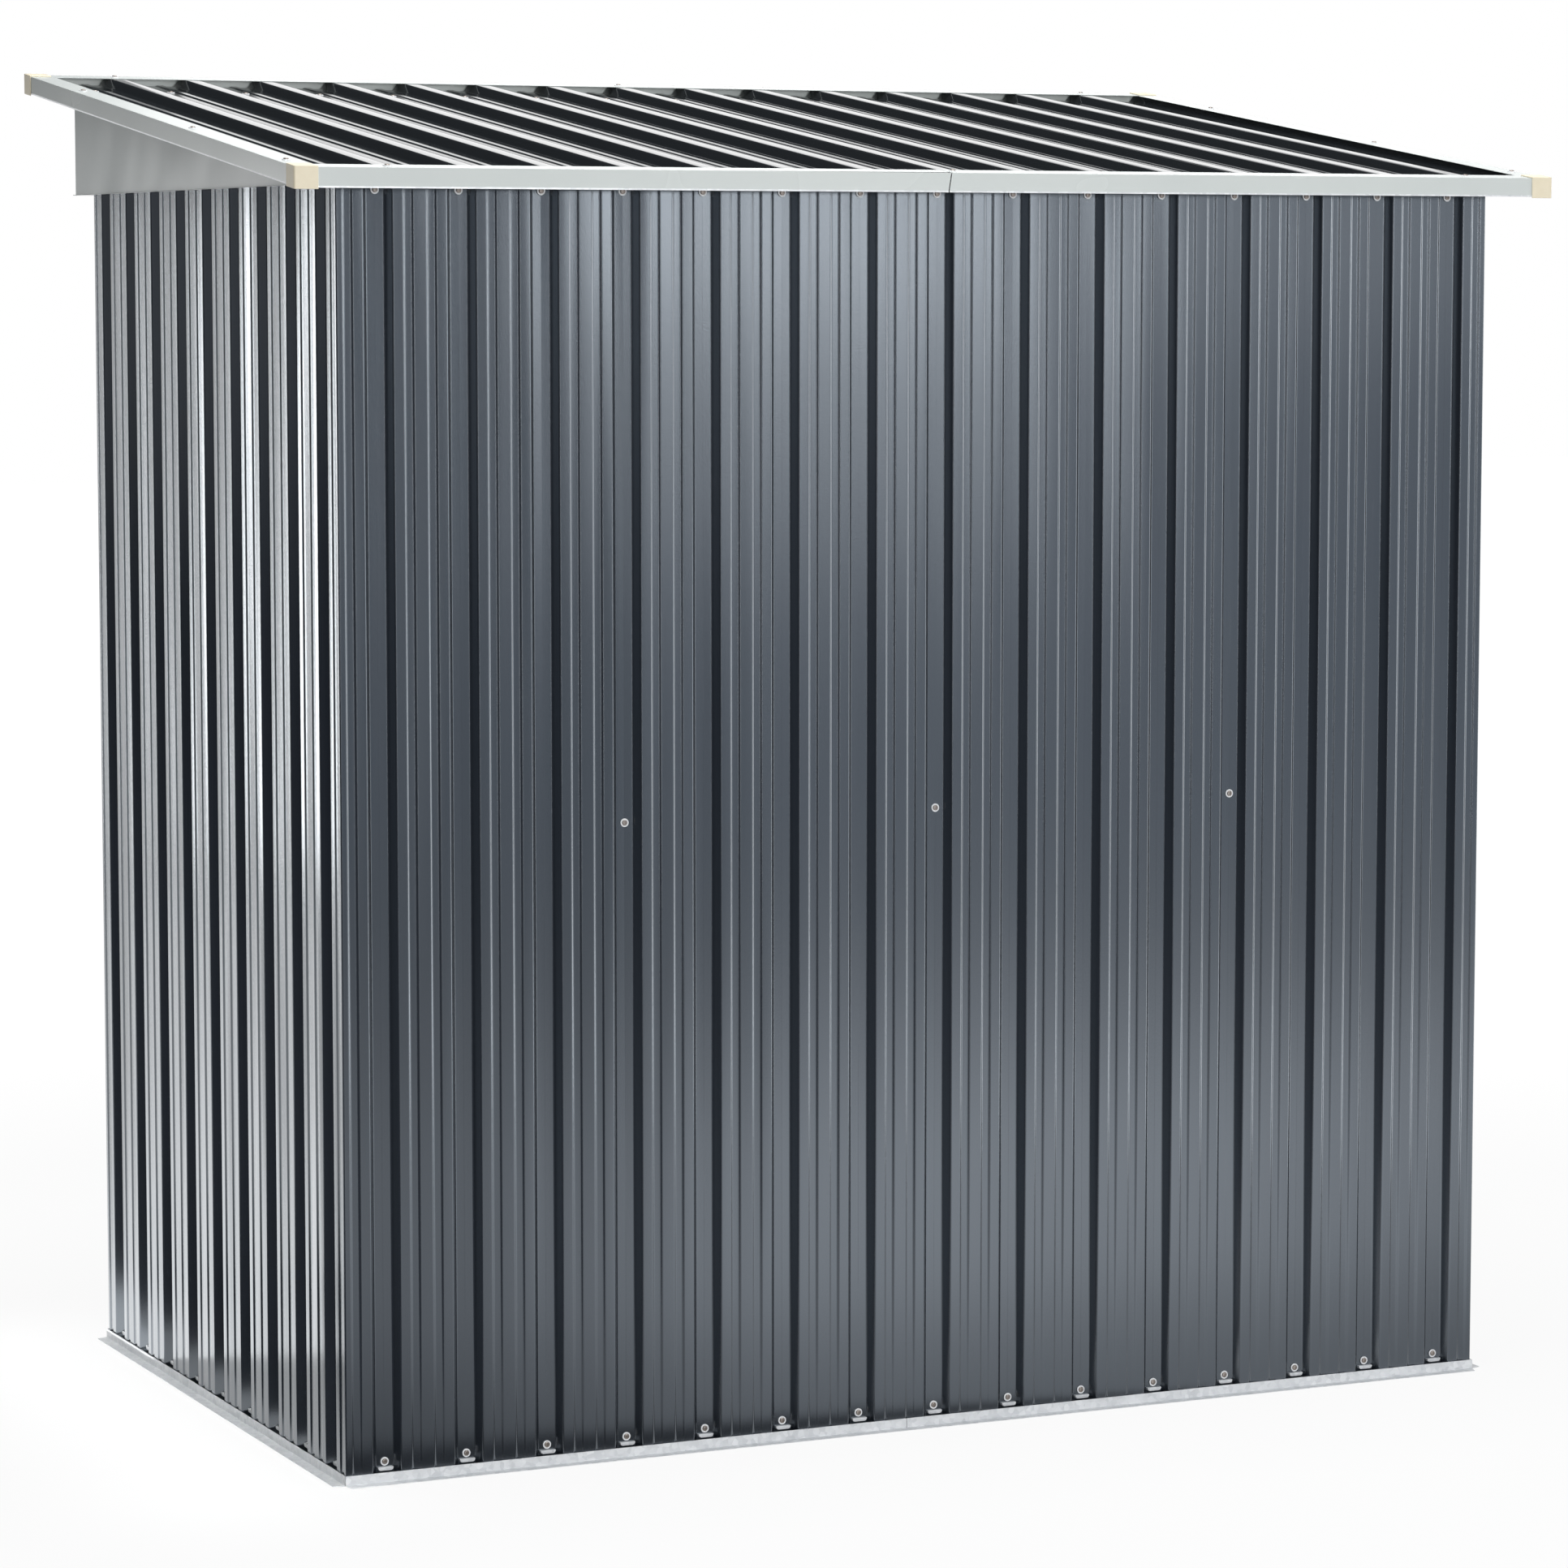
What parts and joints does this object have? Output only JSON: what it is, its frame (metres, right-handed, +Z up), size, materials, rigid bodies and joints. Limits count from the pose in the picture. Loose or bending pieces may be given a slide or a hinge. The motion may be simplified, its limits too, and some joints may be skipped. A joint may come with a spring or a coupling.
{
  "type": "metal storage shed",
  "caption": "Pent-roof garden shed of dark ribbed steel sheets on galvanised base rails, with pale roof trims, corner caps, gable panels and closed sliding doors on the high front.",
  "frame": {"origin": "ground level under the middle of the roof's plan", "axes": "+Z up, -Y towards the high front with the doors, +Y towards the low rear wall, +X to the right of someone who faces the doors"},
  "size_m": [1.8252, 1.1532, 1.8207],
  "materials": {
    "wall_paint": "semi-gloss anthracite coil coating",
    "roof_paint": "semi-gloss anthracite coil coating",
    "trim_paint": "semi-gloss pale grey coating",
    "panel_paint": "semi-gloss pale grey coating",
    "galvanised_steel": "galvanised",
    "cap_plastic": "moulded cream",
    "handle_plastic": "moulded black"
  },
  "bodies": {
    "root": {"rear_right_corner_sheet": "wall_paint", "rear_sheet_right": "wall_paint", "rear_sheet_left": "wall_paint", "rear_left_corner_sheet": "wall_paint", "left_sheet_rear": "wall_paint", "left_sheet_front": "wall_paint", "front_left_corner_sheet": "wall_paint", "front_right_corner_sheet": "wall_paint", "right_sheet_front": "wall_paint", "right_sheet_rear": "wall_paint", "door_right_sheet": "wall_paint", "door_left_sheet": "wall_paint", "roof_sheet_1": "roof_paint", "roof_sheet_2": "roof_paint", "roof_sheet_3": "roof_paint", "roof_sheet_4": "roof_paint", "roof_trim_rear_right": "trim_paint", "roof_trim_rear_left": "trim_paint", "roof_trim_front": "trim_paint", "roof_trim_right": "trim_paint", "roof_trim_left": "trim_paint", "gable_panel_right": "panel_paint", "gable_panel_left": "panel_paint", "front_fascia": "panel_paint", "front_header": "panel_paint", "door_jamb_right": "panel_paint", "door_jamb_left": "panel_paint", "door_right_frame": "panel_paint", "door_left_frame": "panel_paint", "base_rail_rear_right": "galvanised_steel", "base_rail_rear_left": "galvanised_steel", "base_rail_left": "galvanised_steel", "base_rail_right": "galvanised_steel", "base_rail_front": "galvanised_steel", "rear_mid_rail": "galvanised_steel", "right_mid_rail": "galvanised_steel", "left_mid_rail": "galvanised_steel", "rear_top_rail": "galvanised_steel", "right_top_rail": "galvanised_steel", "left_top_rail": "galvanised_steel", "roof_beam": "galvanised_steel", "door_track": "galvanised_steel", "roof_corner_caps": "cap_plastic", "door_handles": "handle_plastic"}
  },
  "joints": []
}
